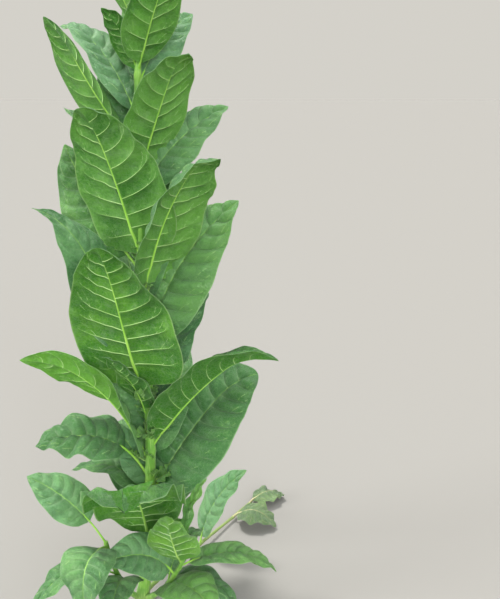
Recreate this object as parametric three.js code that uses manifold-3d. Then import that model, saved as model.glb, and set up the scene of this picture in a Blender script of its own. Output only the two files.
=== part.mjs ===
// A tobacco plant in leaf, rooted in the ground: one tall stem, two suckers and a fallen shoot at
// its foot, a bud and a small rosette at its tip, and broad stalked leaves set round it in a spiral.
// Millimetres, +Z up. The origin is the middle of the flat cut under the main stem, at ground level.
// The plant's front is -Y. A bearing is in degrees from +X, anticlockwise seen from above.
import * as THREE from 'three';
import { mergeVertices } from 'three/addons/utils/BufferGeometryUtils.js';
import Module from 'manifold-3d';

const wasm = await Module();
wasm.setup();

// Driving dimensions
const stemHeight = 1400;
const stemFootRadius = 14;
const stemTipRadius = 5.5;
const flareRadius = 9;          // what the root flare adds to the radius at ground level
const flareHeight = 34;         // height over which the flare dies away
const limbSides = 12;
const seatGap = 0.3;            // clearance between a stalk and the limb that carries it
const ribThickness = 3.4;       // at the midrib, thinning to nothing at the margin
const stalkHalfWidth = 5;
const smallLeafWidth = 100;     // narrower blades have fewer columns
const bladeRows = 7;
const veinSweep = 0.12;         // how far a row runs forward from midrib to margin, as a share
const midribStep = 0.01;        // share of a leaf over which its direction is taken
const hookReach = 0.5;          // outward share of a bent-over tip's drop
const ringCrowding = 1.5;       // sets the stem's rings closer at its foot
const budHeight = 50;
const budRadius = 9;

const colours = { stem: 0x7f9f55, leaf: 0x5f9a52, young: 0x79aa62, wilted: 0x8a9468 };

// Each limb is a cubic curve through space: foot, two pulls and tip, with its radius at both ends.
const limbs = {
  main: {
    node: 'main_stem', length: stemHeight, foot: stemFootRadius, tip: stemTipRadius, steps: 26,
    path: [[0, 0, 0], [83, 0, 467], [1, 0, 933], [60, 0, 1400]],
  },
  left: {
    node: 'left_sucker', length: 240, foot: 7, tip: 4.5, steps: 8,
    path: [[-2, -2, 24], [-34, -34, 70], [-50, -60, 150], [-60, -70, 228]],
  },
  right: {
    node: 'right_sucker', length: 240, foot: 7.5, tip: 4.5, steps: 8,
    path: [[2, -2, 22], [52, -40, 58], [92, -66, 120], [118, -72, 196]],
  },
  fallen: {
    node: 'fallen_shoot', length: 590, foot: 6, tip: 3, steps: 12,
    path: [[1, 2, 26], [70, 120, 40], [170, 290, 9], [300, 505, 8]],
  },
};

// Leaf shape that holds unless a row of the list below says otherwise. Angles are degrees.
const usual = {
  limb: 'main', width: 190, bow: 0.1, fold: [12, 12], curl: -10, roll: 0, twist: 0, sway: 0, hook: 0,
  bend: 0.7, stalk: 0.13, widest: 0.36, point: 0.85, wave: 5, ripples: 3, tint: 'leaf',
};

// One row a leaf: where its stalk leaves the limb, then bearing, reach and lift of the tip.
const leaves = [
  ['bud_front', 1345, 270, 44, 118, { width: 42, stalk: 0.12, tint: 'young' }],
  ['bud_right', 1356, 52, 56, 104, { width: 36, stalk: 0.16, tint: 'young' }],
  ['bud_back', 1330, 140, 66, 120, { width: 50, stalk: 0.12, tint: 'young' }],
  ['crown_right', 1300, 335, 112, 145, { width: 72, tint: 'young' }],
  ['crown_left', 1302, 215, 100, 150, { width: 70, tint: 'young' }],
  ['crown_back', 1285, 85, 125, 150, { width: 80, tint: 'young' }],
  ['top_left_small', 1236, 214, 70, 122, { width: 64, roll: 44, tint: 'leaf' }],
  ['top_front', 1240, 304, 180, 205, { width: 112, bow: 0.05 }],
  ['top_right_grey', 1210, 44, 146, 152, { width: 104, roll: 34 }],
  ['top_left_grey', 1148, 156.6, 166, 208, { width: 106, roll: -14, hook: 20 }],
  ['high_left', 1085, 224, 180, 268,
    { width: 120, roll: 72, fold: [38, 44], bow: -0.038, sway: 0, hook: 20, widest: 0.37, curl: 20 }],
  ['high_front', 1040, 313, 158, 252, { width: 142, bow: 0.06, sway: 12, hook: 20, point: 0.7 }],
  ['high_right', 990, 20, 196, 188, { width: 128, roll: 36 }],
  ['upper_front', 860, 234, 138, 332,
    { width: 204, bow: 0.05, widest: 0.26, sway: -10, hook: 14, point: 0.64, fold: [0, 38] }],
  ['upper_left_dark', 836, 149, 202, 262,
    { width: 165, roll: -62, bow: -0.05, fold: [-30, 2], stalk: 0.2 }],
  ['upper_right_front', 780, 327, 190, 336,
    { width: 188, bow: 0.08, hook: 30, point: 0.7, fold: [-6, -15], bend: 0.76 }],
  ['mid_left_curled', 585, 187, 184, 465,
    { width: 136, roll: -92, bow: 0.0, hook: 70, bend: 0.6, fold: [4, 2], twist: 70, stalk: 0.2,
      point: 1.2, widest: 0.3 }],
  ['mid_right_pale', 655, 18, 212, 327, { width: 184, roll: 34, widest: 0.34, fold: [-4, 14] }],
  ['mid_back_right', 516, 37, 165, 250, { width: 124, roll: 12 }],
  ['mid_front_great', 507, 249, 160, 438,
    { width: 246, bow: 0.03, stalk: 0.24, widest: 0.25, point: 0.74, sway: -14, hook: 20, bend: 0.62,
      fold: [2, 12] }],
  ['low_left_under', 472, 223, 112, 205, { width: 90, roll: 14 }],
  ['low_right_folded', 420, 343, 280, 292, { width: 142, fold: [58, 40], bow: 0.06, hook: 40 }],
  ['low_left_folded', 370, 184, 262, 296,
    { width: 140, fold: [20, 8], bow: 0.14, hook: 20, roll: -16, twist: 112 }],
  ['low_left_crumpled', 340, 190, 250, 112, { width: 150, wave: 12, bow: 0.25, stalk: 0.34, roll: -16 }],
  ['low_right_great', 300, 20, 252, 302, { width: 226, roll: 30, bow: 0.05, hook: 30, point: 0.6 }],
  ['foot_left_round', 316, 154, 104, 150, { width: 88, roll: -24 }],
  ['foot_left_back', 270, 170, 190, 82, { width: 80, bow: 0.3, roll: 2, fold: [4, 0] }],
  ['foot_front_draped', 185, 266, 196, 250,
    { width: 220, bow: 0.1, hook: 30, bend: 0.93, widest: 0.66, point: 0.26, wave: 20, fold: [4, 4],
      roll: 8, ripples: 4 }],
  ['back_high', 1172, 73, 145, 202, { width: 70 }],
  ['back_high_left', 1072, 112, 165, 225, { width: 134 }],
  ['back_upper_right', 964, 76, 180, 242, { width: 106 }],
  ['back_upper_left', 932, 150, 192, 244, { width: 84 }],
  ['back_upper', 845, 84, 190, 280, { width: 145 }],
  ['back_mid_right', 742, 58, 190, 262, { width: 76 }],
  ['back_mid_left', 610, 114, 190, 285, { width: 140, stalk: 0.22 }],
  ['back_mid', 480, 107, 205, 262, { width: 175 }],
  ['back_low_left', 434, 111, 220, 226, { width: 136 }],
  ['back_low_right', 382, 72, 228, 225, { width: 132 }],
  ['back_low', 242, 108, 258, 150, { width: 170, bow: 0.2 }],
  ['back_foot_right', 208, 50, 245, 90, { width: 160, bow: 0.3 }],
  ['sucker_left_out', 232, 165, 190, 145, { limb: 'left', width: 100, roll: -32, stalk: 0.3 }],
  ['sucker_left_down', 226, 256, 124, -80, { limb: 'left', width: 122, bow: 0.5 }],
  ['sucker_left_low', 130, 206, 200, -30, { limb: 'left', width: 90, bow: 0.3 }],
  ['sucker_front', 55, 266, 190, 60, { limb: 'left', width: 100, bow: 0.3 }],
  ['sucker_right_in', 170, 207, 168, 84, { limb: 'right', width: 108, roll: -40, bow: 0.2 }],
  ['sucker_right_up', 214, 256, 82, 174, { limb: 'right', width: 118, bow: -0.04, roll: 6, tint: 'young' }],
  ['sucker_right_fold', 228, 120, 66, 80, { limb: 'right', width: 54, stalk: 0.35, tint: 'young' }],
  ['sucker_right_small', 236, 14, 54, 190,
    { limb: 'right', width: 48, stalk: 0.2, roll: 10, tint: 'young' }],
  ['sucker_right_out', 200, 8, 228, -35, { limb: 'right', width: 86, bow: 0.2 }],
  ['sucker_right_front', 105, 315, 190, 40, { limb: 'right', width: 130, bow: 0.2 }],
  ['sucker_right_dim', 130, 60, 150, 60, { limb: 'right', width: 70, bow: 0.3 }],
  ['sucker_right_foot', 55, 350, 215, -20, { limb: 'right', width: 90, bow: 0.35 }],
  ['shoot_upright', 300, 350, 128, 236, { limb: 'fallen', width: 104, roll: 36 }],
  ['shoot_wilted_near', 455, 340, 135, -2,
    { limb: 'fallen', width: 100, tint: 'wilted', wave: 6, bow: 0.3, fold: [-28, -20], curl: 14 }],
  ['shoot_wilted_tip', 532, 24, 120, -2,
    { limb: 'fallen', width: 88, tint: 'wilted', wave: 6, bow: 0.25, fold: [-20, -26], curl: 10 }],
];

function toRadians(degrees) {
  return degrees * Math.PI / 180;
}

// Limbs

function limbCurve(limb) {
  return new THREE.CubicBezierCurve3(...limb.path.map((point) => new THREE.Vector3(...point)));
}

function limbRadius(limb, share) {
  const taper = limb.foot + (limb.tip - limb.foot) * share;
  return limb === limbs.main ? taper + flareRadius * Math.exp(-share * limb.length / flareHeight) : taper;
}

// Flat-ended tube of rings along a limb. The main stem's rings are level, so its foot is a flat cut.
function limbMesh(limb, grow) {
  const curve = limbCurve(limb);
  const positions = [];
  const level = limb === limbs.main;
  for (let step = 0; step <= limb.steps; step += 1) {
    const even = step / limb.steps;
    const share = level ? even ** ringCrowding : even;
    const middle = curve.getPoint(share);
    const along = level ? new THREE.Vector3(0, 0, 1) : curve.getTangent(share);
    const across = new THREE.Vector3(along.z, 0, -along.x).normalize();
    const third = new THREE.Vector3().crossVectors(along, across);
    const radius = limbRadius(limb, share) + grow;
    if (step === 0) middle.addScaledVector(along, -grow);
    if (step === limb.steps) middle.addScaledVector(along, grow);
    for (let side = 0; side < limbSides; side += 1) {
      const angle = side * 2 * Math.PI / limbSides;
      const point = middle.clone().addScaledVector(across, radius * Math.cos(angle));
      point.addScaledVector(third, radius * Math.sin(angle));
      positions.push(point.x, point.y, point.z);
    }
  }
  const faces = [];
  for (let step = 0; step < limb.steps; step += 1) {
    for (let side = 0; side < limbSides; side += 1) {
      const a = step * limbSides + side;
      const b = step * limbSides + (side + 1) % limbSides;
      faces.push(a, b, b + limbSides, a, b + limbSides, a + limbSides);
    }
  }
  const lastRing = limb.steps * limbSides;
  for (let side = 1; side < limbSides - 1; side += 1) {
    faces.push(0, side + 1, side);
    faces.push(lastRing, lastRing + side, lastRing + side + 1);
  }
  return { positions, faces };
}

// Leaves

// Midrib from the limb's axis to the tip, as a point for each share of the leaf's length.
function midribPoint(leaf, share) {
  const limb = limbs[leaf.limb];
  const origin = limbCurve(limb).getPoint(leaf.at / limb.length);
  const bearing = toRadians(leaf.bearing);
  const out = new THREE.Vector3(Math.cos(bearing), Math.sin(bearing), 0);
  const side = new THREE.Vector3(-Math.sin(bearing), Math.cos(bearing), 0);
  const arch = 4 * share * (1 - share);
  const bend = Math.max(0, (share - leaf.bend) / (1 - leaf.bend)) ** 2;
  const outward = leaf.reach * share - leaf.lift * arch * leaf.bow + leaf.hook * bend * hookReach;
  const upward = leaf.lift * share + leaf.reach * arch * leaf.bow - leaf.hook * bend;
  origin.addScaledVector(out, outward);
  origin.addScaledVector(side, leaf.sway * arch);
  origin.z += upward;
  return { point: origin, side };
}

// Directions at one place on the midrib: across the blade, and out of its upper face.
function midribFrame(leaf, share) {
  const before = midribPoint(leaf, share - midribStep);
  const after = midribPoint(leaf, share + midribStep);
  const along = after.point.clone().sub(before.point).normalize();
  const face = new THREE.Vector3().crossVectors(along, before.side).normalize();
  const across = new THREE.Vector3().crossVectors(face, along);
  const roll = toRadians(leaf.roll + leaf.twist * share);
  across.multiplyScalar(Math.cos(roll)).addScaledVector(face, Math.sin(roll));
  face.crossVectors(along, across);
  return { across, face };
}

// Half the blade's width at a share of the blade: narrow at the stalk, widest low down, then a point.
function bladeHalfWidth(leaf, share) {
  const fall = leaf.point;
  const rise = fall * leaf.widest / (1 - leaf.widest);
  const inside = Math.min(Math.max(share, 0), 1);
  return leaf.width / 2 * (inside / leaf.widest) ** rise * ((1 - inside) / (1 - leaf.widest)) ** fall;
}

// A place on the leaf: row 0 to 1 along the blade, across -1 to 1, lifted off the middle surface.
function bladePoint(leaf, row, across, off) {
  const away = Math.abs(across);
  const share = row + veinSweep * 4 * row * (1 - row) * away;
  const length = leaf.stalk + (1 - leaf.stalk) * share;
  const halfWidth = Math.max(bladeHalfWidth(leaf, share), stalkHalfWidth * (1 - row)) * away;
  const fold = toRadians(leaf.fold[across < 0 ? 0 : 1] + leaf.curl * away);
  const ripple = leaf.wave * away ** 2 * 4 * row * (1 - row);
  const rise = halfWidth * Math.sin(fold) + ripple * Math.sin(leaf.ripples * 2 * Math.PI * row + across);
  const frame = midribFrame(leaf, length);
  const point = midribPoint(leaf, length).point;
  point.addScaledVector(frame.across, Math.sign(across) * halfWidth * Math.cos(fold));
  return point.addScaledVector(frame.face, rise + off);
}

// Closed thin blade on a flat stalk: an upper and an under skin that meet along the margin.
function leafMesh(leaf) {
  const stations = leaf.width < smallLeafWidth ? [-1, 0, 1] : [-1, -0.5, 0, 0.5, 1];
  const last = stations.length - 1;
  const positions = [];
  const faces = [];
  const place = (point) => {
    positions.push(point.x, point.y, point.z);
    return positions.length / 3 - 1;
  };
  const quad = (a, b, c, d) => faces.push(a, b, c, a, c, d);
  const rows = [];
  const isMargin = (column) => column === 0 || column === last;
  for (let row = -1; row < bladeRows; row += 1) {
    const spot = (across, off) => {
      if (row >= 0) return bladePoint(leaf, row / bladeRows, across, off);
      const frame = midribFrame(leaf, 0);
      const point = midribPoint(leaf, 0).point.addScaledVector(frame.across, across * stalkHalfWidth);
      return point.addScaledVector(frame.face, off);
    };
    const top = stations.map((across, column) => (
      place(spot(across, isMargin(column) ? 0 : ribThickness / 2))));
    const bottom = stations.map((across, column) => (
      isMargin(column) ? top[column] : place(spot(across, -ribThickness / 2))));
    rows.push({ top, bottom });
  }
  const tip = place(bladePoint(leaf, 1, 0, 0));
  for (let cell = 0; cell < last; cell += 1) {
    for (let row = 0; row < rows.length - 1; row += 1) {
      const near = rows[row];
      const far = rows[row + 1];
      quad(near.top[cell], far.top[cell], far.top[cell + 1], near.top[cell + 1]);
      quad(near.bottom[cell], near.bottom[cell + 1], far.bottom[cell + 1], far.bottom[cell]);
    }
    const end = rows[rows.length - 1];
    faces.push(end.top[cell], tip, end.top[cell + 1]);
    faces.push(end.bottom[cell], end.bottom[cell + 1], tip);
  }
  const start = rows[0];
  for (let cell = 1; cell < last; cell += 1) {
    faces.push(start.top[0], start.top[cell], start.top[cell + 1]);
    faces.push(start.top[0], start.bottom[cell + 1], start.bottom[cell]);
  }
  return { positions, faces };
}

// Bud: a small pointed spindle on the tip of the stem

function budMesh() {
  const tip = limbCurve(limbs.main).getPoint(1);
  const shape = [[0, 0], [0.55, 0], [0.9, 0.2], [1, 0.45], [0.65, 0.75], [0, 1]];
  const points = shape.map(([radius, height]) => (
    new THREE.Vector2(radius * budRadius, seatGap + height * (budHeight - seatGap))));
  const geometry = new THREE.LatheGeometry(points, limbSides);
  geometry.rotateX(Math.PI / 2);
  geometry.translate(tip.x, tip.y, tip.z);
  geometry.deleteAttribute('normal');
  geometry.deleteAttribute('uv');
  const merged = mergeVertices(geometry, 1e-3);
  return { positions: [...merged.attributes.position.array], faces: [...merged.index.array] };
}

// Solids and the scene

function solidOf({ positions, faces }) {
  const mesh = new wasm.Mesh({
    numProp: 3,
    vertProperties: new Float32Array(positions),
    triVerts: new Uint32Array(faces),
  });
  return new wasm.Manifold(mesh);
}

function addNode(group, name, solid, colour) {
  const mesh = solid.getMesh();
  const geometry = new THREE.BufferGeometry();
  geometry.setAttribute('position', new THREE.BufferAttribute(mesh.vertProperties, 3));
  geometry.setIndex(new THREE.BufferAttribute(mesh.triVerts, 1));
  const material = new THREE.MeshStandardMaterial({ color: colour, roughness: 0.6, metalness: 0 });
  const node = new THREE.Mesh(geometry, material);
  node.name = name;
  group.add(node);
}

// The largest piece of a trimmed solid: what a cut leaves inside the limb is dropped.
function largestPiece(solid) {
  return solid.decompose().sort((a, b) => b.volume() - a.volume())[0];
}

const group = new THREE.Group();
const stemSolid = solidOf(limbMesh(limbs.main, 0));
const stemSeat = solidOf(limbMesh(limbs.main, seatGap));
const seats = { main: stemSeat };
addNode(group, limbs.main.node, stemSolid, colours.stem);

for (const key of ['left', 'right', 'fallen']) {
  const limb = limbs[key];
  const trimmed = largestPiece(solidOf(limbMesh(limb, 0)).subtract(stemSeat));
  seats[key] = solidOf(limbMesh(limb, seatGap));
  addNode(group, limb.node, trimmed, colours.stem);
}

addNode(group, 'terminal_bud', solidOf(budMesh()), colours.young);

for (const [name, at, bearing, reach, lift, own] of leaves) {
  const leaf = { ...usual, at, bearing, reach, lift, ...own };
  const blade = solidOf(leafMesh(leaf)).subtract(seats[leaf.limb]);
  addNode(group, `leaf_${name}`, largestPiece(blade), colours[leaf.tint]);
}

export default group;
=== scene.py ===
import bisect
import math
import random

import bmesh
import bpy
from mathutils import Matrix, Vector, noise


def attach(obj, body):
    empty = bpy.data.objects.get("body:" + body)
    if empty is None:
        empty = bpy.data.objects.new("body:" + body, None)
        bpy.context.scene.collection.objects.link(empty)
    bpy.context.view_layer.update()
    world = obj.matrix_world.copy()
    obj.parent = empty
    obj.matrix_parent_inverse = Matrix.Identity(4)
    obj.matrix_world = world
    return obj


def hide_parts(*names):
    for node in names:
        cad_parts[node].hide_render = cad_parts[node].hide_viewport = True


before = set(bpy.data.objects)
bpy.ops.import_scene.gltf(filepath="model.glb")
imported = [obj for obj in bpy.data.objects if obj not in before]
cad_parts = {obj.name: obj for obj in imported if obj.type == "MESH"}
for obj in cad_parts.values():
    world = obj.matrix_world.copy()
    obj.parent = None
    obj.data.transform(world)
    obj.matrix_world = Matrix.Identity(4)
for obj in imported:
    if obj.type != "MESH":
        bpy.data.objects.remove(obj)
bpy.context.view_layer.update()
print("frame loaded:", len(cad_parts), "nodes")

# Camera, floor and light

camera = {
    "place": (0.266, -1.487, 1.200),    # metres from the foot of the stem
    "down": 15.86,                      # degrees below level
    "lens": 43.27,                      # millimetres, on a sensor 36 mm along its long side
}

suns = {    # name: direction that the light comes from, strength, spread in degrees, colour
    "keySun": ((-0.55, 0.35, 1.7), 3.1, 12, (1.0, 0.97, 0.91)),
    "skySun": ((0.2, -0.3, 1.5), 1.2, 70, (0.97, 0.99, 1.0)),
    "frontSun": ((0.97, -3.8, 1.2), 2.3, 34, (0.98, 0.99, 1.0)),
    "sideSun": ((-3.23, -1.2, 1.0), 2.1, 26, (1.0, 0.99, 0.96)),
}

floorLooks = {
    "size": 400.0,
    "colour": (0.282, 0.2775, 0.268, 1),
    "world": (1.0, 0.97, 0.894, 1),
    "worldStrength": 0.657,
}


def buildCamera():
    data = bpy.data.cameras.new("photoCamera")
    data.lens = camera["lens"]
    data.sensor_width = 36
    thing = bpy.data.objects.new("photoCamera", data)
    thing.location = camera["place"]
    thing.rotation_euler = (math.radians(90 - camera["down"]), 0, 0)
    bpy.context.collection.objects.link(thing)
    bpy.context.scene.camera = thing


def buildLamps():
    for name, (source, strength, spread, colour) in suns.items():
        data = bpy.data.lights.new(name, "SUN")
        data.energy = strength
        data.angle = math.radians(spread)
        data.color = colour
        thing = bpy.data.objects.new(name, data)
        thing.rotation_euler = (-Vector(source)).to_track_quat("-Z", "Y").to_euler()
        bpy.context.collection.objects.link(thing)
    world = bpy.data.worlds.new("studioAir")
    world.use_nodes = True
    air = world.node_tree.nodes["Background"]
    air.inputs["Color"].default_value = floorLooks["world"]
    air.inputs["Strength"].default_value = floorLooks["worldStrength"]
    bpy.context.scene.world = world
    bpy.context.scene.view_settings.view_transform = "Standard"


def buildFloor():
    bm = bmesh.new()
    bmesh.ops.create_grid(bm, x_segments=2, y_segments=2, size=floorLooks["size"] / 2)
    mesh = bpy.data.meshes.new("studioFloor")
    bm.to_mesh(mesh)
    bm.free()
    floor = bpy.data.objects.new("studioFloor", mesh)
    bpy.context.collection.objects.link(floor)
    paint = bpy.data.materials.new("paleFloor")
    paint.use_nodes = True
    skin = paint.node_tree.nodes["Principled BSDF"]
    skin.inputs["Base Color"].default_value = floorLooks["colour"]
    skin.inputs["Roughness"].default_value = 0.9
    skin.inputs["Specular IOR Level"].default_value = 0
    mesh.materials.append(paint)


buildCamera()
buildLamps()
buildFloor()
print("stage ready")

# Limbs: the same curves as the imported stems, foot, two pulls and tip, in metres

limbs = {
    "main": {
        "node": "main_stem", "length": 1.4, "foot": 0.014, "tip": 0.0055,
        "path": [(0, 0, 0), (0.083, 0, 0.467), (0.001, 0, 0.933), (0.06, 0, 1.4)],
        "rings": 300, "sides": 28,
    },
    "left": {
        "node": "left_sucker", "length": 0.24, "foot": 0.007, "tip": 0.0045,
        "path": [(-0.002, -0.002, 0.024), (-0.034, -0.034, 0.07), (-0.05, -0.06, 0.15),
                 (-0.06, -0.07, 0.228)],
        "rings": 64, "sides": 18,
    },
    "right": {
        "node": "right_sucker", "length": 0.24, "foot": 0.0075, "tip": 0.0045,
        "path": [(0.002, -0.002, 0.022), (0.052, -0.04, 0.058), (0.092, -0.066, 0.12),
                 (0.118, -0.072, 0.196)],
        "rings": 64, "sides": 18,
    },
    "fallen": {
        "node": "fallen_shoot", "length": 0.59, "foot": 0.006, "tip": 0.003,
        "path": [(0.001, 0.002, 0.026), (0.07, 0.12, 0.04), (0.17, 0.29, 0.009), (0.3, 0.505, 0.008)],
        "rings": 110, "sides": 16,
    },
}

rootFlare = {"radius": 0.009, "height": 0.034}

for limb in limbs.values():
    limb["path"] = [Vector(point) for point in limb["path"]]


def limbPoint(limb, share):
    a, b, c, d = limb["path"]
    rest = 1 - share
    return a * rest**3 + b * (3 * rest**2 * share) + c * (3 * rest * share**2) + d * share**3


def limbAlong(limb, share):
    a, b, c, d = limb["path"]
    rest = 1 - share
    return ((b - a) * rest**2 + (c - b) * (2 * rest * share) + (d - c) * share**2).normalized()


def limbRadius(limb, share):
    radius = limb["foot"] + (limb["tip"] - limb["foot"]) * share
    if limb is limbs["main"]:
        radius += rootFlare["radius"] * math.exp(-share * limb["length"] / rootFlare["height"])
    return radius


# Leaves: one row each, as packed: name, height on the limb, bearing, reach and lift of the tip, own
# shape. tone, warm, quilt, limp, lobe and frill change only the look; a low tone darkens a leaf, partly as
# its own colour and partly as painted shade.

usual = {
    "limb": "main", "width": 0.19, "bow": 0.1, "fold": (12, 12), "curl": -10, "roll": 0, "twist": 0,
    "sway": 0, "hook": 0, "bend": 0.7, "frill": 0, "stalk": 0.13, "widest": 0.36, "point": 0.85,
    "wave": 0.005, "ripples": 3,
    "tint": "leaf", "lobe": 0.05, "quilt": 1.0, "limp": 0.0, "tone": 0.5, "warm": 0.5,
}

leafRows = [
    ("bud_front", 1.345, 270, 0.044, 0.118, dict(width=0.042, stalk=0.12, tint="young")),
    ("bud_right", 1.356, 52, 0.056, 0.104, dict(width=0.036, stalk=0.16, tint="young")),
    ("bud_back", 1.33, 140, 0.066, 0.12, dict(width=0.05, stalk=0.12, tint="young")),
    ("crown_right", 1.3, 335, 0.112, 0.145, dict(width=0.072, tint="young")),
    ("crown_left", 1.302, 215, 0.1, 0.15, dict(width=0.07, tint="young")),
    ("crown_back", 1.285, 85, 0.125, 0.15, dict(width=0.08, tint="young")),
    ("top_left_small", 1.236, 214, 0.07, 0.122, dict(width=0.064, roll=44, tint="leaf", tone=0.1)),
    ("top_front", 1.24, 304, 0.18, 0.205, dict(width=0.112, bow=0.05)),
    ("top_right_grey", 1.21, 44, 0.146, 0.152, dict(width=0.104, roll=34, tone=0.7, warm=0.1)),
    ("top_left_grey", 1.148, 156.6, 0.166, 0.208,
        dict(width=0.106, roll=-14, hook=0.02, tone=0.6, warm=0.1)),
    ("high_left", 1.085, 224, 0.18, 0.268,
        dict(width=0.12, roll=72, fold=(38, 44), bow=-0.038, sway=0.0, hook=0.02, widest=0.37, curl=20)),
    ("high_front", 1.04, 313, 0.158, 0.252,
        dict(width=0.142, bow=0.06, sway=0.012, hook=0.02, point=0.7, tone=0.85)),
    ("high_right", 0.99, 20, 0.196, 0.188, dict(width=0.128, roll=36, tone=0.6, warm=0.4, quilt=1.4)),
    ("upper_front", 0.86, 234, 0.138, 0.332,
        dict(width=0.204, bow=0.05, widest=0.26, sway=-0.01, hook=0.014, point=0.64, fold=(0, 38),
             lobe=0.09, tone=0.55)),
    ("upper_left_dark", 0.836, 149, 0.202, 0.262,
        dict(width=0.165, roll=-62, tone=0.2, warm=1.2, bow=-0.05, fold=(-30, 2), stalk=0.2)),
    ("upper_right_front", 0.78, 327, 0.19, 0.336,
        dict(width=0.188, bow=0.08, hook=0.03, point=0.7, fold=(-6, -15), bend=0.76, tone=0.75)),
    ("mid_left_curled", 0.585, 187, 0.184, 0.465,
        dict(width=0.136, roll=-92, bow=0.0, hook=0.07, tone=0.4, warm=0.2, bend=0.6, fold=(4, 2),
             twist=70, stalk=0.2, point=1.2, widest=0.3, quilt=0.3)),
    ("mid_right_pale", 0.655, 18, 0.212, 0.327,
        dict(width=0.184, roll=34, tone=0.9, warm=0.7, widest=0.34, fold=(-4, 14), quilt=1.8)),
    ("mid_back_right", 0.516, 37, 0.165, 0.25, dict(width=0.124, roll=12, tone=0.35, warm=0.1)),
    ("mid_front_great", 0.507, 249, 0.16, 0.438,
        dict(width=0.246, bow=0.03, stalk=0.24, widest=0.25, point=0.74, sway=-0.014, hook=0.02,
             bend=0.62, lobe=0.09, warm=1.1, tone=0.4, fold=(2, 12))),
    ("low_left_under", 0.472, 223, 0.112, 0.205, dict(width=0.09, roll=14, tone=0.2)),
    ("low_right_folded", 0.42, 343, 0.28, 0.292,
        dict(width=0.142, fold=(58, 40), bow=0.06, hook=0.04, tone=0.1, warm=0.9)),
    ("low_left_folded", 0.37, 184, 0.262, 0.296,
        dict(width=0.14, fold=(20, 8), bow=0.14, hook=0.02, tone=0.8, warm=0.9, roll=-16, twist=112)),
    ("low_left_crumpled", 0.34, 190, 0.25, 0.112,
        dict(width=0.15, wave=0.012, bow=0.25, stalk=0.34, roll=-16, tone=0.0, limp=0.35, quilt=1.8)),
    ("low_right_great", 0.3, 20, 0.252, 0.302,
        dict(width=0.226, roll=30, bow=0.05, hook=0.03, point=0.6, tone=0.15, warm=0.6, quilt=1.6)),
    ("foot_left_round", 0.316, 154, 0.104, 0.15, dict(width=0.088, roll=-24, tone=0.8, warm=0.15)),
    ("foot_left_back", 0.27, 170, 0.19, 0.082, dict(width=0.08, bow=0.3, roll=2, fold=(4, 0))),
    ("foot_front_draped", 0.185, 266, 0.196, 0.25,
        dict(width=0.22, bow=0.1, hook=0.03, bend=0.93, widest=0.66, point=0.26, wave=0.02, fold=(4, 4),
             roll=8, warm=0.9, tone=0.4, ripples=4, frill=0.035)),
    ("back_high", 1.172, 73, 0.145, 0.202, dict(width=0.07)),
    ("back_high_left", 1.072, 112, 0.165, 0.225, dict(width=0.134)),
    ("back_upper_right", 0.964, 76, 0.18, 0.242, dict(width=0.106)),
    ("back_upper_left", 0.932, 150, 0.192, 0.244, dict(width=0.084)),
    ("back_upper", 0.845, 84, 0.19, 0.28, dict(width=0.145)),
    ("back_mid_right", 0.742, 58, 0.19, 0.262, dict(width=0.076)),
    ("back_mid_left", 0.61, 114, 0.19, 0.285, dict(width=0.14, stalk=0.22)),
    ("back_mid", 0.48, 107, 0.205, 0.262, dict(width=0.175)),
    ("back_low_left", 0.434, 111, 0.22, 0.226, dict(width=0.136)),
    ("back_low_right", 0.382, 72, 0.228, 0.225, dict(width=0.132)),
    ("back_low", 0.242, 108, 0.258, 0.15, dict(width=0.17, bow=0.2)),
    ("back_foot_right", 0.208, 50, 0.245, 0.09, dict(width=0.16, bow=0.3)),
    ("sucker_left_out", 0.232, 165, 0.19, 0.145,
        dict(limb="left", width=0.1, roll=-32, tone=0.7, warm=0.3, stalk=0.3)),
    ("sucker_left_down", 0.226, 256, 0.124, -0.08, dict(limb="left", width=0.122, bow=0.5)),
    ("sucker_left_low", 0.13, 206, 0.2, -0.03, dict(limb="left", width=0.09, bow=0.3)),
    ("sucker_front", 0.055, 266, 0.19, 0.06, dict(limb="left", width=0.1, bow=0.3)),
    ("sucker_right_in", 0.17, 207, 0.168, 0.084,
        dict(limb="right", width=0.108, roll=-40, bow=0.2, tone=0.7, warm=0.3)),
    ("sucker_right_up", 0.214, 256, 0.082, 0.174,
        dict(limb="right", width=0.118, bow=-0.04, roll=6, tint="young", warm=0.9)),
    ("sucker_right_fold", 0.228, 120, 0.066, 0.08,
        dict(limb="right", width=0.054, stalk=0.35, tint="young")),
    ("sucker_right_small", 0.236, 14, 0.054, 0.19,
        dict(limb="right", width=0.048, stalk=0.2, roll=10, tint="young")),
    ("sucker_right_out", 0.2, 8, 0.228, -0.035,
        dict(limb="right", width=0.086, bow=0.2, tone=0.9, warm=0.9)),
    ("sucker_right_front", 0.105, 315, 0.19, 0.04,
        dict(limb="right", width=0.13, bow=0.2, tone=1.0, warm=1.1)),
    ("sucker_right_dim", 0.13, 60, 0.15, 0.06, dict(limb="right", width=0.07, bow=0.3)),
    ("sucker_right_foot", 0.055, 350, 0.215, -0.02, dict(limb="right", width=0.09, bow=0.35)),
    ("shoot_upright", 0.3, 350, 0.128, 0.236,
        dict(limb="fallen", width=0.104, roll=36, tone=0.9, warm=0.2)),
    ("shoot_wilted_near", 0.455, 340, 0.135, -0.002,
        dict(limb="fallen", width=0.1, tint="wilted", wave=0.006, limp=0.8, bow=0.3, fold=(-28, -20),
             curl=14)),
    ("shoot_wilted_tip", 0.532, 24, 0.12, -0.002,
        dict(limb="fallen", width=0.088, tint="wilted", wave=0.006, limp=0.8, bow=0.25, fold=(-20, -26),
             curl=10)),
]

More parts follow.
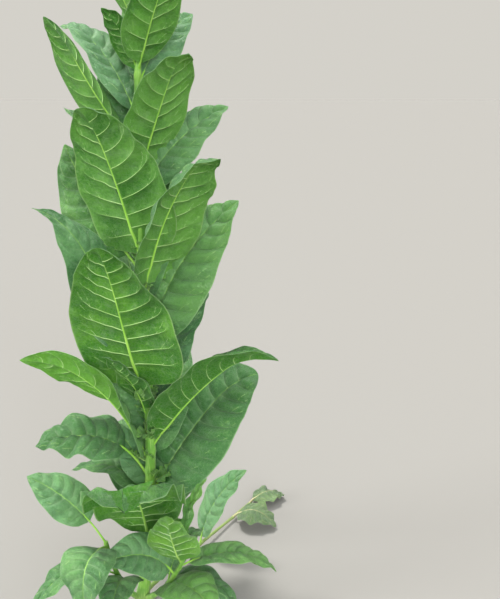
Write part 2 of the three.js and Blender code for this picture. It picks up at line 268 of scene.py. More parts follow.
bladeBuild = {
    "thickness": 0.0005,
    "rowStep": 0.006,        # longest gap between rows, along the midrib
    "columns": 13,           # each side of the midrib
    "sweep": 0.17,           # how far the laterals run forward, as a share of the blade
    "sweepCurve": 1.7,
    "bulge": 0.19,           # of the blade between two laterals, as a share of their distance
    "pucker": 0.003,
    "lump": 0.034,           # broad unevenness, as a share of the leaf's width
    "limpLump": 0.09,        # what a limp leaf adds to it
    "crease": 0.014,         # finer unevenness toward the margin
    "veinLine": 0.0016,      # half width of a vein's pale line on the upper side
    "ribGroove": 0.0016,
    "stalkHalf": 0.003,
}

veinBuild = {
    "ribShare": 0.0128,      # midrib radius at the blade's foot, as a share of its width
    "ribFoot": 0.93,         # the part of the radius that tapers away, and the part that stays
    "ribEnd": 0.07,
    "ribTaper": 1.5,
    "lateralShare": 0.003,
    "least": 0.0003,
    "sunk": 0.00008,         # how far a vein stays below the upper side; it stands out underneath
    "reach": 0.9,            # laterals fade before the margin
    "fork": 0.58,
}


def makeLeaf(name, at, bearing, reach, lift, own, number):
    leaf = {**usual, **own, "name": name, "at": at, "bearing": bearing, "reach": reach, "lift": lift}
    limb = limbs[leaf["limb"]]
    turn = math.radians(bearing)
    leaf["origin"] = limbPoint(limb, at / limb["length"])
    leaf["out"] = Vector((math.cos(turn), math.sin(turn), 0))
    leaf["side"] = Vector((-math.sin(turn), math.cos(turn), 0))
    leaf["seed"] = number * 7.31
    leaf["blade"] = math.hypot(reach, lift) * (1 - leaf["stalk"])
    chance = random.Random(number)
    leaf["veins"] = veinRowsOf(leaf, chance)
    return leaf


# Rows at which the laterals leave the midrib, left side and right side, set alternately
def veinRowsOf(leaf, chance):
    pairs = round(4 + leaf["blade"] / 0.078)
    rows = {}
    for side, shift in ((-1, 0.0), (1, 0.42)):
        starts = [k + 0.55 + shift + chance.uniform(-0.1, 0.1) for k in range(pairs)]
        rows[side] = [(start / (pairs + 1.1)) ** 1.06 for start in starts]
    return rows


def midribPoint(leaf, share):
    arch = 4 * share * (1 - share)
    bend = max(0.0, (share - leaf["bend"]) / (1 - leaf["bend"])) ** 2
    outward = leaf["reach"] * share - leaf["lift"] * arch * leaf["bow"] + leaf["hook"] * bend * 0.5
    upward = leaf["lift"] * share + leaf["reach"] * arch * leaf["bow"] - leaf["hook"] * bend
    point = leaf["origin"] + leaf["out"] * outward + leaf["side"] * (leaf["sway"] * arch)
    point.z += upward
    return point


# Across the blade and out of its upper face, at one place on the midrib
def midribFrame(leaf, share):
    along = (midribPoint(leaf, share + 0.01) - midribPoint(leaf, share - 0.01)).normalized()
    face = along.cross(leaf["side"]).normalized()
    across = face.cross(along)
    roll = math.radians(leaf["roll"] + leaf["twist"] * share)
    across = across * math.cos(roll) + face * math.sin(roll)
    return across, along.cross(across)


def halfWidth(leaf, share):
    inside = min(max(share, 0.0), 1.0)
    rise = leaf["point"] * leaf["widest"] / (1 - leaf["widest"])
    return leaf["width"] / 2 * (inside / leaf["widest"]) ** rise * (
        (1 - inside) / (1 - leaf["widest"])) ** leaf["point"]


# Bulge of the blade between two laterals: nothing on a vein, full halfway to the next
def quilting(leaf, row, across):
    away = abs(across)
    rows = leaf["veins"][-1 if across < 0 else 1]
    after = bisect.bisect(rows, row + 1e-9)
    low = rows[after - 1] if after > 0 else rows[0] - (rows[1] - rows[0])
    high = rows[after] if after < len(rows) else rows[-1] + (rows[-1] - rows[-2])
    gap = high - low
    place = min(max((row - low) / gap, 0.0), 1.0)
    fade = min(away / 0.16, 1.0) * min((1 - away) / 0.3, 1.0)
    fade *= min(row / 0.06, 1.0) * min((1 - row) / 0.12, 1.0)
    rise = bladeBuild["bulge"] * leaf["quilt"] * gap * leaf["blade"]
    return rise * math.sin(math.pi * place) ** 0.8 * fade


def bladePoint(leaf, row, across, off=0.0):
    away = abs(across)
    middle = 4 * row * (1 - row)
    share = row + bladeBuild["sweep"] * middle * away ** bladeBuild["sweepCurve"]
    half = max(halfWidth(leaf, share), bladeBuild["stalkHalf"] * (1 - row)) * away
    frill = leaf["frill"] * row**6 * math.sin(across * 9 + 1)
    frillPull = frill + leaf["frill"] * row**6 * away
    pulled = share - leaf["lobe"] * (1 - row) ** 6 * away**1.5 - 0.5 * frillPull
    length = leaf["stalk"] + (1 - leaf["stalk"]) * pulled
    fold = math.radians(leaf["fold"][0 if across < 0 else 1] + leaf["curl"] * away)
    ripple = leaf["wave"] * away**2 * middle * math.sin(leaf["ripples"] * 2 * math.pi * row + across)
    ripple += 0.4 * frill
    seed = leaf["seed"]
    lump = noise.noise(Vector((row * 4.2 + seed, across * 1.6, seed)))
    lumpSize = bladeBuild["lump"] + bladeBuild["limpLump"] * leaf["limp"]
    ripple += leaf["width"] * lumpSize * lump * min(away * 2.5, 1.0) * middle
    crease = noise.noise(Vector((row * 11 + seed, across * 3, 4.0)))
    ripple += leaf["width"] * bladeBuild["crease"] * crease * away**2 * middle
    pucker = noise.noise(Vector((row * leaf["blade"] * 46 + seed, across * leaf["width"] * 26, 9.0)))
    ripple += bladeBuild["pucker"] * pucker * min(away * 4, 1.0) * min(middle * 2, 1.0)
    groove = bladeBuild["ribGroove"] * math.exp(-(half / 0.006) ** 2)
    rise = half * math.sin(fold) + ripple + quilting(leaf, row, across) - groove + off
    sideways, face = midribFrame(leaf, length)
    flat = half * math.cos(fold)
    return midribPoint(leaf, length) + sideways * (flat if across > 0 else -flat) + face * rise


# Shares across half a blade, from the midrib to the margin, closer together at the margin
def columnShares(count):
    return [0.0, 0.03] + [math.sin(math.pi / 2 * k / count) for k in range(1, count + 1)]


# Shares along a blade: a row on each lateral, with even steps between
def rowShares(leaf, step):
    beside = bladeBuild["veinLine"] / leaf["blade"]
    veins = leaf["veins"][-1] + leaf["veins"][1]
    marks = sorted([0.0, 1.0] + veins + [row - beside for row in veins] + [row + beside for row in veins])
    rows = [0.0]
    for low, high in zip(marks, marks[1:]):
        parts = max(1, round((high - low) * leaf["blade"] / step))
        rows += [low + (high - low) * k / parts for k in range(1, parts + 1)]
    return rows


def buildBlade(leaf, step, columns):
    half = columnShares(columns)
    acrosses = [-a for a in half[:0:-1]] + half
    rows = rowShares(leaf, step)
    bm = bmesh.new()
    veinLayer = bm.verts.layers.float.new("vein")
    edgeLayer = bm.verts.layers.float.new("edge")
    grid = bmesh.ops.create_grid(bm, x_segments=len(acrosses) - 1, y_segments=len(rows) - 1, size=1)
    for index, vert in enumerate(grid["verts"]):
        row = rows[index // len(acrosses)]
        across = -acrosses[index % len(acrosses)]     # so that the grid's front is the upper side
        vert.co = bladePoint(leaf, row, across)
        nearest = min(abs(row - vein) for vein in leaf["veins"][-1 if across < 0 else 1])
        line = math.exp(-(nearest * leaf["blade"] / bladeBuild["veinLine"]) ** 2) * (1 - 0.85 * abs(across))
        vert[veinLayer] = max(line, 1.6 * (1 - 0.6 * row) if across == 0 else 0)
        vert[edgeLayer] = max(0.0, (abs(across) - 0.93) / 0.07)
    bmesh.ops.remove_doubles(bm, verts=bm.verts, dist=0.00002)
    shell = bmesh.ops.solidify(bm, geom=bm.faces[:], thickness=bladeBuild["thickness"])
    for item in shell["geom"]:
        if isinstance(item, bmesh.types.BMFace):
            item.material_index = 1
    return bm


# A round cord of changing thickness along each path, as one mesh
def cordMesh(name, cords, roundness):
    curve = bpy.data.curves.new(name, "CURVE")
    curve.dimensions = "3D"
    curve.bevel_depth = 1.0     # so that a point's radius is in metres
    curve.bevel_resolution = roundness
    curve.use_fill_caps = True
    for cord in cords:
        spline = curve.splines.new("POLY")
        spline.points.add(len(cord) - 1)
        for spot, (place, radius) in zip(spline.points, cord):
            spot.co = (*place, 1)
            spot.radius = radius
    thing = bpy.data.objects.new(name, curve)
    mesh = bpy.data.meshes.new_from_object(thing)
    bpy.data.objects.remove(thing)
    bpy.data.curves.remove(curve)
    return mesh


def ribCord(leaf):
    thick = veinBuild["ribShare"] * leaf["width"] + 0.0007
    length = math.hypot(leaf["reach"], leaf["lift"])
    cord = []
    steps = 34
    for k in range(steps + 1):
        share = (k / steps) ** 1.1 * 0.985
        blade = max(0.0, (share - leaf["stalk"]) / (1 - leaf["stalk"]))
        taper = veinBuild["ribFoot"] * (1 - blade) ** veinBuild["ribTaper"]
        radius = thick * (taper + veinBuild["ribEnd"])
        radius += 0.45 * thick * math.exp(-share * length / 0.02)
        depth = min(blade / 0.08, 1.0) * (radius - 0.0005)
        face = midribFrame(leaf, share)[1]
        sink = bladeBuild["ribGroove"] * min(blade / 0.08, 1.0)
        cord.append((midribPoint(leaf, share) - face * (depth + sink), radius))
    return cord


def lateralCords(leaf, columns):
    cords = []
    shares = columnShares(columns)
    for side in (-1, 1):
        rows = leaf["veins"][side]
        for number, row in enumerate(rows):
            size = veinBuild["lateralShare"] * leaf["width"] * (1 - 0.45 * row) + 0.0003
            gap = (rows[number + 1] - row) if number + 1 < len(rows) else (row - rows[number - 1])
            cord = []
            for away in [0.0] + shares[2:]:
                if away > veinBuild["reach"]:
                    break
                late = max(0.0, (away - 0.7) / 0.3)
                radius = max(size * (1 - away / veinBuild["reach"]) ** 0.7, veinBuild["least"])
                sink = radius + veinBuild["sunk"]
                cord.append((bladePoint(leaf, row + 0.5 * gap * late**2, side * away, -sink), radius))
            cords.append(cord)
            fork = []
            for step in range(5):
                away = veinBuild["fork"] + 0.055 * step
                radius = max(0.45 * size * (1 - step / 6), veinBuild["least"])
                place = min(row + gap * 0.14 * step, 0.99)
                fork.append((bladePoint(leaf, place, side * away, -radius - veinBuild["sunk"]), radius))
            cords.append(fork)
    return cords


def addPart(bm, mesh, slotIndex):
    first = len(bm.faces)
    bm.from_mesh(mesh)
    bm.faces.ensure_lookup_table()
    for face in bm.faces[first:]:
        face.material_index = slotIndex
    bpy.data.meshes.remove(mesh)


def finishPiece(name, bm, materials, nodes, looks=None):
    mesh = bpy.data.meshes.new(name)
    bm.to_mesh(mesh)
    bm.free()
    for material in materials:
        mesh.materials.append(material)
    mesh.shade_smooth()
    mesh.set_sharp_from_angle(angle=math.radians(52))
    for key, value in (looks or {}).items():
        layer = mesh.attributes.new(key, "FLOAT", "POINT")
        layer.data.foreach_set("value", [value] * len(mesh.vertices))
    piece = bpy.data.objects.new(name, mesh)
    bpy.context.collection.objects.link(piece)
    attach(piece, "root")
    if nodes:
        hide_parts(*nodes)
    return piece


# Materials

def addNode(tree, kind, **settings):
    node = tree.nodes.new(kind)
    for key, value in settings.items():
        setattr(node, key, value)
    return node


# Puts a value or a link on a socket
def feed(tree, socket, value):
    if isinstance(value, bpy.types.NodeSocket):
        tree.links.new(value, socket)
    else:
        socket.default_value = value


def blendColour(tree, factor, a, b):
    node = addNode(tree, "ShaderNodeMix", data_type="RGBA")
    feed(tree, node.inputs[0], factor)
    feed(tree, node.inputs[6], a)
    feed(tree, node.inputs[7], b)
    return node.outputs[2]


def tinted(tree, a, b):
    node = addNode(tree, "ShaderNodeMix", data_type="RGBA", blend_type="MULTIPLY")
    node.inputs[0].default_value = 1
    feed(tree, node.inputs[6], a)
    feed(tree, node.inputs[7], b)
    return node.outputs[2]


def sums(tree, operation, a, b=0.0, clamp=False):
    node = addNode(tree, "ShaderNodeMath", operation=operation, use_clamp=clamp)
    feed(tree, node.inputs[0], a)
    feed(tree, node.inputs[1], b)
    return node.outputs[0]


def ramped(tree, value, low, high, toLow=0.0, toHigh=1.0):
    node = addNode(tree, "ShaderNodeMapRange", interpolation_type="SMOOTHSTEP")
    for socket, number in zip(node.inputs[:5], (value, low, high, toLow, toHigh)):
        feed(tree, socket, number)
    return node.outputs[0]


def cloud(tree, place, scale, detail=2.0, rough=0.5):
    node = addNode(tree, "ShaderNodeTexNoise")
    feed(tree, node.inputs["Vector"], place)
    node.inputs["Scale"].default_value = scale
    node.inputs["Detail"].default_value = detail
    node.inputs["Roughness"].default_value = rough
    return node.outputs["Fac"]


def stored(tree, name):
    return addNode(tree, "ShaderNodeAttribute", attribute_name=name).outputs["Fac"]


# What every leaf's skin shares: cloudy flesh whose dark mottling is partly painted shade, the fine vein
# network, pale veins, a pale margin that is a painted highlight, and pale patches of painted sheen
def leafSkinGroup():
    tree = bpy.data.node_groups.new("leafSkin", "ShaderNodeTree")
    for name, kind in (("Flesh", "Color"), ("Dark Flesh And Painted Shade", "Color"), ("Pale", "Color"), ("Glow", "Color"),
                       ("Deep Glow", "Color"), ("Network", "Float"), ("Halo", "Float"), ("Margin", "Float"),
                       ("Gloss", "Float"), ("Painted Sheen", "Float")):
        tree.interface.new_socket(name, in_out="INPUT", socket_type="NodeSocket" + kind)
    for name, kind in (("Color", "Color"), ("Through", "Color"), ("Roughness", "Float"),
                       ("Height", "Float")):
        tree.interface.new_socket(name, in_out="OUTPUT", socket_type="NodeSocket" + kind)
    given = addNode(tree, "NodeGroupInput").outputs
    place = addNode(tree, "ShaderNodeTexCoord").outputs["Object"]
    broad = cloud(tree, place, 13, 3)
    fine = cloud(tree, place, 210, 3, 0.6)
    # Painted shade, in part: the tone attribute and the mottle push the flesh toward the dark colour, which
    # is partly the leaf's own darker green and partly shade painted in for the blade's fine relief and for
    # leaves that sit in shade
    tone = sums(tree, "MULTIPLY", sums(tree, "SUBTRACT", stored(tree, "tone"), 0.5), 1.6)
    share = sums(tree, "ADD", ramped(tree, broad, 0.3, 0.7), tone, clamp=True)
    middling = cloud(tree, place, 75, 3, 0.6)
    mottleAndPaintedShade = sums(tree, "ADD", sums(tree, "MULTIPLY", fine, 1.3), sums(tree, "MULTIPLY", middling, 1.1))
    share = sums(tree, "ADD", share, sums(tree, "SUBTRACT", mottleAndPaintedShade, 1.2), clamp=True)
    drift = sums(tree, "MULTIPLY", sums(tree, "SUBTRACT", broad, 0.5), 0.8)
    hue = sums(tree, "ADD", stored(tree, "warm"), drift)
    tint = blendColour(tree, hue, (1.12, 1.02, 1.6, 1), (0.95, 1.0, 0.5, 1))
    # Partly painted shade: flesh mixed toward the dark colour by the share above
    flesh = blendColour(tree, share, given["Dark Flesh And Painted Shade"], given["Flesh"])
    flesh = tinted(tree, flesh, tint)
    cells = addNode(tree, "ShaderNodeTexVoronoi", feature="DISTANCE_TO_EDGE")
    feed(tree, cells.inputs["Vector"], place)
    cells.inputs["Scale"].default_value = 120
    net = ramped(tree, cells.outputs["Distance"], 0.0, 0.09, 1.0, 0.0)
    smallCells = addNode(tree, "ShaderNodeTexVoronoi", feature="DISTANCE_TO_EDGE")
    feed(tree, smallCells.inputs["Vector"], place)
    smallCells.inputs["Scale"].default_value = 340
    smallNet = ramped(tree, smallCells.outputs["Distance"], 0.0, 0.12, 1.0, 0.0)
    net = sums(tree, "MAXIMUM", net, sums(tree, "MULTIPLY", smallNet, 0.5))
    halo = sums(tree, "MULTIPLY", stored(tree, "vein"), given["Halo"])
    # Painted highlight: a pale line along the margin, where the leaf's edge catches the light
    margin = sums(tree, "MULTIPLY", ramped(tree, stored(tree, "edge"), 0.45, 1.0), given["Margin"])
    lines = sums(tree, "MULTIPLY", net, given["Network"])
    pale = sums(tree, "MAXIMUM", sums(tree, "MAXIMUM", halo, margin), lines)
    # Painted sheen: pale grey-green patches mixed into the colour, standing in for the sky's reflection on
    # parts of the surface that face upward
    sheenPatches = ramped(tree, cloud(tree, place, 42, 4, 0.65), 0.5, 0.72)
    paintedSheen = sums(tree, "MULTIPLY", sheenPatches, given["Painted Sheen"])
    flesh = blendColour(tree, paintedSheen, flesh, (0.36, 0.56, 0.3, 1))
    out = addNode(tree, "NodeGroupOutput").inputs
    feed(tree, out["Color"], blendColour(tree, pale, flesh, given["Pale"]))
    feed(tree, out["Through"], blendColour(tree, share, given["Deep Glow"], given["Glow"]))
    grain = sums(tree, "MULTIPLY", fine, 0.16)
    feed(tree, out["Roughness"], sums(tree, "ADD", given["Gloss"], grain, clamp=True))
    height = sums(tree, "SUBTRACT", sums(tree, "MULTIPLY", fine, 0.3), sums(tree, "MULTIPLY", net, 0.6))
    height = sums(tree, "ADD", height, sums(tree, "MULTIPLY", middling, 0.9))
    feed(tree, out["Height"], height)
    return tree


leafSkin = leafSkinGroup()


def leafMaterial(name, looks):
    material = bpy.data.materials.new(name)
    material.use_nodes = True
    tree = material.node_tree
    body = tree.nodes["Principled BSDF"]
    group = addNode(tree, "ShaderNodeGroup", node_tree=leafSkin)
    for socket, value in looks["skin"].items():
        group.inputs[socket].default_value = (*value, 1) if isinstance(value, tuple) else value
    bump = addNode(tree, "ShaderNodeBump")
    bump.inputs["Strength"].default_value = looks["bump"]
    bump.inputs["Distance"].default_value = 0.003
    feed(tree, bump.inputs["Height"], group.outputs["Height"])
    feed(tree, body.inputs["Base Color"], group.outputs["Color"])
    feed(tree, body.inputs["Roughness"], group.outputs["Roughness"])
    feed(tree, body.inputs["Normal"], bump.outputs["Normal"])
    body.inputs["Specular IOR Level"].default_value = looks["shine"]
    body.inputs["Sheen Weight"].default_value = looks["sheen"]
    body.inputs["Sheen Roughness"].default_value = 0.5
    body.inputs["Sheen Tint"].default_value = (0.85, 0.95, 1.0, 1)
    through = addNode(tree, "ShaderNodeBsdfTranslucent")
    feed(tree, through.inputs["Color"], group.outputs["Through"])
    feed(tree, through.inputs["Normal"], bump.outputs["Normal"])
    mix = addNode(tree, "ShaderNodeMixShader")
    mix.inputs[0].default_value = looks["through"]
    tree.links.new(body.outputs[0], mix.inputs[1])
    tree.links.new(through.outputs[0], mix.inputs[2])
    tree.links.new(mix.outputs[0], tree.nodes["Material Output"].inputs["Surface"])
    return material


# Dark Flesh And Painted Shade is partly painted shade, Margin Highlight is a painted highlight and Painted
# Sheen is a painted sky reflection
leafLooks = {    # linear colours
    "leafUpper": {
        "skin": {"Flesh": (0.15, 0.385, 0.115), "Dark Flesh And Painted Shade": (0.04, 0.19, 0.03), "Pale": (0.36, 0.6, 0.27),
                 "Glow": (0.30, 0.62, 0.06), "Deep Glow": (0.14, 0.42, 0.03),
                 "Network": 0.14, "Halo": 0.6, "Margin": 0.7, "Gloss": 0.34, "Painted Sheen": 0.15},
        "bump": 0.75, "shine": 0.65, "sheen": 0.2, "through": 0.26,
    },
    "leafUnder": {
        "skin": {"Flesh": (0.165, 0.45, 0.07), "Dark Flesh And Painted Shade": (0.045, 0.235, 0.012), "Pale": (0.42, 0.66, 0.24),
                 "Glow": (0.30, 0.64, 0.045), "Deep Glow": (0.14, 0.43, 0.02),
                 "Network": 0.22, "Halo": 0.3, "Margin": 0.8, "Gloss": 0.4, "Painted Sheen": 0.25},
        "bump": 0.7, "shine": 0.42, "sheen": 0.1, "through": 0.36,
    },
    "youngUpper": {
        "skin": {"Flesh": (0.15, 0.37, 0.07), "Dark Flesh And Painted Shade": (0.08, 0.27, 0.045), "Pale": (0.36, 0.6, 0.2),
                 "Glow": (0.42, 0.74, 0.07), "Deep Glow": (0.28, 0.6, 0.05),
                 "Network": 0.2, "Halo": 0.35, "Margin": 0.7, "Gloss": 0.38, "Painted Sheen": 0.4},
        "bump": 0.5, "shine": 0.5, "sheen": 0.22, "through": 0.4,
    },
    "youngUnder": {
        "skin": {"Flesh": (0.19, 0.43, 0.08), "Dark Flesh And Painted Shade": (0.12, 0.34, 0.05), "Pale": (0.4, 0.64, 0.22),
                 "Glow": (0.42, 0.74, 0.07), "Deep Glow": (0.28, 0.6, 0.05),
                 "Network": 0.2, "Halo": 0.35, "Margin": 0.7, "Gloss": 0.46, "Painted Sheen": 0.4},
        "bump": 0.5, "shine": 0.4, "sheen": 0.2, "through": 0.42,
    },
    "wiltedUpper": {
        "skin": {"Flesh": (0.16, 0.28, 0.1), "Dark Flesh And Painted Shade": (0.07, 0.16, 0.045), "Pale": (0.34, 0.44, 0.22),
                 "Glow": (0.4, 0.45, 0.1), "Deep Glow": (0.2, 0.28, 0.06),
                 "Network": 0.3, "Halo": 0.4, "Margin": 0.6, "Gloss": 0.6, "Painted Sheen": 0.3},
        "bump": 0.9, "shine": 0.3, "sheen": 0.3, "through": 0.2,
    },
    "wiltedUnder": {
        "skin": {"Flesh": (0.26, 0.38, 0.17), "Dark Flesh And Painted Shade": (0.15, 0.25, 0.1), "Pale": (0.44, 0.54, 0.3),
                 "Glow": (0.4, 0.45, 0.1), "Deep Glow": (0.2, 0.28, 0.06),
                 "Network": 0.3, "Halo": 0.4, "Margin": 0.6, "Gloss": 0.62, "Painted Sheen": 0.3},
        "bump": 0.9, "shine": 0.3, "sheen": 0.3, "through": 0.2,
    },
}

ribLooks = {    # two flesh colours, roughness; the midrib, then the finer veins
    "leafRib": ((0.23, 0.52, 0.045), (0.34, 0.64, 0.09), 0.42),
    "leafVein": ((0.32, 0.58, 0.14), (0.46, 0.71, 0.26), 0.42),
    "youngRib": ((0.3, 0.56, 0.07), (0.42, 0.68, 0.14), 0.42),
    "youngVein": ((0.4, 0.66, 0.2), (0.56, 0.78, 0.36), 0.42),
    "wiltedRib": ((0.3, 0.32, 0.14), (0.46, 0.44, 0.24), 0.6),
    "wiltedVein": ((0.3, 0.32, 0.14), (0.46, 0.44, 0.24), 0.6),
}


def ribMaterial(name, low, high, rough):
    material = bpy.data.materials.new(name)
    material.use_nodes = True
    tree = material.node_tree
    body = tree.nodes["Principled BSDF"]
    place = addNode(tree, "ShaderNodeTexCoord").outputs["Object"]
    broad = ramped(tree, cloud(tree, place, 22, 3), 0.35, 0.65)
    feed(tree, body.inputs["Base Color"], blendColour(tree, broad, (*low, 1), (*high, 1)))
    grain = cloud(tree, place, 420, 2)
    feed(tree, body.inputs["Roughness"], ramped(tree, grain, 0.2, 0.8, rough, rough + 0.14))
    bump = addNode(tree, "ShaderNodeBump")
    bump.inputs["Strength"].default_value = 0.3
    bump.inputs["Distance"].default_value = 0.0005
    feed(tree, bump.inputs["Height"], grain)
    feed(tree, body.inputs["Normal"], bump.outputs["Normal"])
    body.inputs["Sheen Weight"].default_value = 0.15
    return material


def leafPaintOf(kind):
    skins = [leafMaterial(kind + side, leafLooks[kind + side]) for side in ("Upper", "Under")]
    return skins + [ribMaterial(kind + part, *ribLooks[kind + part]) for part in ("Rib", "Vein")]


leafPaint = {kind: leafPaintOf(kind) for kind in ("leaf", "young", "wilted")}

stemLooks = {
    "low": (0.13, 0.34, 0.045), "high": (0.24, 0.5, 0.07), "streak": (0.4, 0.64, 0.17),
    "foot": (0.2, 0.2, 0.09), "footTop": 0.07, "roughness": 0.46,
}


def stemMaterial():
    material = bpy.data.materials.new("greenStem")
    material.use_nodes = True
    tree = material.node_tree
    body = tree.nodes["Principled BSDF"]
    place = addNode(tree, "ShaderNodeTexCoord").outputs["Object"]
    stretch = addNode(tree, "ShaderNodeMapping")
    feed(tree, stretch.inputs["Vector"], place)
    stretch.inputs["Scale"].default_value = (1, 1, 0.07)
    streaks = cloud(tree, stretch.outputs["Vector"], 420, 3, 0.6)
    blotch = cloud(tree, place, 26, 3)
    low, high = (*stemLooks["low"], 1), (*stemLooks["high"], 1)
    colour = blendColour(tree, ramped(tree, blotch, 0.32, 0.68), low, high)
    colour = blendColour(tree, ramped(tree, streaks, 0.5, 0.72, 0, 0.7), colour, (*stemLooks["streak"], 1))
    height = addNode(tree, "ShaderNodeSeparateXYZ")
    feed(tree, height.inputs[0], place)
    footShare = ramped(tree, height.outputs["Z"], 0.0, stemLooks["footTop"], 0.75, 0.0)
    colour = blendColour(tree, footShare, colour, (*stemLooks["foot"], 1))
    feed(tree, body.inputs["Base Color"], colour)
    feed(tree, body.inputs["Roughness"], ramped(tree, streaks, 0.2, 0.8, stemLooks["roughness"], 0.62))
    bump = addNode(tree, "ShaderNodeBump")
    bump.inputs["Strength"].default_value = 0.5
    bump.inputs["Distance"].default_value = 0.0008
    feed(tree, bump.inputs["Height"], streaks)
    feed(tree, body.inputs["Normal"], bump.outputs["Normal"])
    body.inputs["Sheen Weight"].default_value = 0.25
    body.inputs["Sheen Roughness"].default_value = 0.4
    return material


greenStem = stemMaterial()
print("materials ready")


def buildLeaf(leaf):
    small = leaf["width"] < 0.1
    columns = 8 if small else bladeBuild["columns"]
    bm = buildBlade(leaf, bladeBuild["rowStep"], columns)
    addPart(bm, cordMesh("laterals", lateralCords(leaf, columns), 1), 3)
    addPart(bm, cordMesh("midrib", [ribCord(leaf)], 2), 2)
    tint = leaf["tint"]
    return finishPiece("blade_" + leaf["name"], bm, leafPaint[tint],
                       ["leaf_" + leaf["name"]], {"tone": leaf["tone"], "warm": leaf["warm"]})


leaves = [makeLeaf(*row, number) for number, row in enumerate(leafRows)]
triangles = 0
for leaf in leaves:
    piece = buildLeaf(leaf)
    triangles += sum(len(p.vertices) - 2 for p in piece.data.polygons)
print("leaves built:", len(leaves), "pieces,", triangles, "triangles")

# Stems with their relief: a swelling and two running ridges under each leaf stalk, scars near the foot

stemRelief = {
    "swelling": 0.0024, "swellingHeight": 0.008, "ridge": 0.0006, "ridgeRun": 0.07, "lump": 0.0005,
    "flute": 0.0003,
    "scars": [(0.062, 40), (0.1, 178), (0.136, 305), (0.166, 95)],    # height and bearing
}


def angleGap(a, b):
    return (a - b + math.pi) % (2 * math.pi) - math.pi


def limbRelief(key, marks, height, angle, place):
    waver = math.sin(9 * angle + 4 * noise.noise(place * 8))
    rise = stemRelief["lump"] * noise.noise(place * 60) + stemRelief["flute"] * waver
    for at, bearing in marks:
        drop = at - height
        if not -0.04 < drop < 0.1:
            continue
        turn = angleGap(angle, bearing)
        spot = math.exp(-(drop / stemRelief["swellingHeight"]) ** 2 - (turn / 0.75) ** 2)
        rise += stemRelief["swelling"] * spot
        if drop > 0:
            ridge = math.exp(-((abs(turn) - 0.5) / 0.16) ** 2) * max(0.0, 1 - drop / stemRelief["ridgeRun"])
            rise += stemRelief["ridge"] * ridge
    if key == "main":
        for at, bearing in stemRelief["scars"]:
            drop = (height - at) / 0.0045
            turn = angleGap(angle, math.radians(bearing)) / 0.8
            ring = math.hypot(drop, turn)
            rise += 0.0012 * math.exp(-((ring - 1) / 0.35) ** 2) - 0.0006 * math.exp(-(ring**2) * 2)
    return rise


def buildLimb(key):
    limb = limbs[key]
    bm = bmesh.new()
    bmesh.ops.create_cone(bm, cap_ends=True, segments=limb["sides"], radius1=1, radius2=1, depth=1)
    upright = [edge for edge in bm.edges if abs(edge.verts[0].co.z - edge.verts[1].co.z) > 0.5]
    bmesh.ops.subdivide_edges(bm, edges=upright, cuts=limb["rings"] - 1)
    level = key == "main"
    marks = []
    for leaf in leaves:
        if leaf["limb"] != key:
            continue
        along = Vector((0, 0, 1)) if level else limbAlong(limb, leaf["at"] / limb["length"])
        across = Vector((along.z, 0, -along.x)).normalized()
        bearing = math.atan2(leaf["out"].dot(along.cross(across)), leaf["out"].dot(across))
        marks.append((leaf["at"], bearing))
    for vert in bm.verts:
        share = (vert.co.z + 0.5) ** (1.25 if level else 1)
        angle = math.atan2(vert.co.y, vert.co.x)
        along = Vector((0, 0, 1)) if level else limbAlong(limb, share)
        across = Vector((along.z, 0, -along.x)).normalized()
        middle = limbPoint(limb, share)
        spoke = across * math.cos(angle) + along.cross(across) * math.sin(angle)
        radius = limbRadius(limb, share)
        radius += limbRelief(key, marks, share * limb["length"], angle, middle + spoke * radius)
        vert.co = middle + spoke * radius
    for face in bm.faces:
        face.material_index = 0
    return finishPiece(limb["node"] + "_bark", bm, [greenStem], [limb["node"]])


for key in limbs:
    buildLimb(key)
print("stems built")

# Bud at the tip: a pointed core wrapped in small folded leaves

bud = {"height": 0.044, "radius": 0.0075, "wraps": 8, "turn": 137.5}


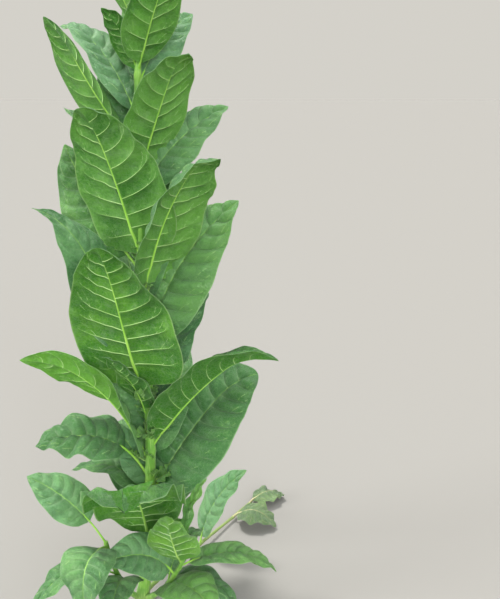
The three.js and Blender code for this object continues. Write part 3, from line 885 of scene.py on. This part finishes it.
def joinedLeaves(name, small, tint, nodes, extra=None):
    whole = extra or bmesh.new()
    for leaf in small:
        bm = buildBlade(leaf, 0.006, 6)
        addPart(bm, cordMesh("midrib", [ribCord(leaf)], 1), 2)
        addPart(bm, cordMesh("laterals", lateralCords(leaf, 5)[::2], 0), 3)
        mesh = bpy.data.meshes.new("part")
        bm.to_mesh(mesh)
        bm.free()
        whole.from_mesh(mesh)
        bpy.data.meshes.remove(mesh)
    return finishPiece(name, whole, leafPaint[tint], nodes, {"tone": 0.8, "warm": 0.6})


def buildBud():
    tip = limbPoint(limbs["main"], 1)
    core = bmesh.new()
    bmesh.ops.create_uvsphere(core, u_segments=20, v_segments=16, radius=1)
    for vert in core.verts:
        height = (vert.co.z + 1) / 2
        narrow = bud["radius"] * (1 - 0.55 * height)
        vert.co = tip + Vector((vert.co.x * narrow, vert.co.y * narrow, height * bud["height"]))
    wraps = []
    for k in range(bud["wraps"]):
        own = dict(width=0.017 + 0.001 * k, stalk=0.02, fold=(48, 48), curl=-6, bow=-0.12,
                   tint="young", wave=0.001)
        reach, lift = 0.005 + 0.0012 * k, 0.052 - 0.0015 * k
        wraps.append(makeLeaf("wrap", 1.396, bud["turn"] * k, reach, lift, own, 200 + k))
    return joinedLeaves("top_bud", wraps, "young", ["terminal_bud"], core)


buildBud()

# Small ruffled shoots in the axils: height on the stem, bearing, length, leaves in each

axils = [
    (0.525, 262, 0.075, 4), (0.44, 335, 0.08, 5), (0.388, 196, 0.06, 4), (0.34, 22, 0.07, 4),
    (0.795, 328, 0.045, 3), (0.876, 240, 0.04, 3), (0.69, 20, 0.05, 3), (0.64, 118, 0.05, 3),
    (0.5, 100, 0.06, 4), (0.86, 98, 0.04, 3), (1.0, 24, 0.035, 3),
]


def buildAxils():
    small = []
    for number, (at, bearing, length, count) in enumerate(axils):
        chance = random.Random(500 + number)
        for k in range(count):
            size = length * chance.uniform(0.8, 1.3)
            own = dict(width=size * 0.46, stalk=0.2, wave=size * 0.07, ripples=4,
                       bow=chance.uniform(-0.1, 0.3), roll=chance.uniform(-50, 50), tint="young",
                       fold=(26, 26))
            spread = (k - (count - 1) / 2) * 42
            lean = chance.uniform(0.35, 0.75)
            small.append(makeLeaf("axil", at, bearing + spread, size * lean, size * (1.15 - lean), own,
                                  600 + 10 * number + k))
    return joinedLeaves("axil_shoots", small, "young", [])


buildAxils()
print("bud and axil shoots built")
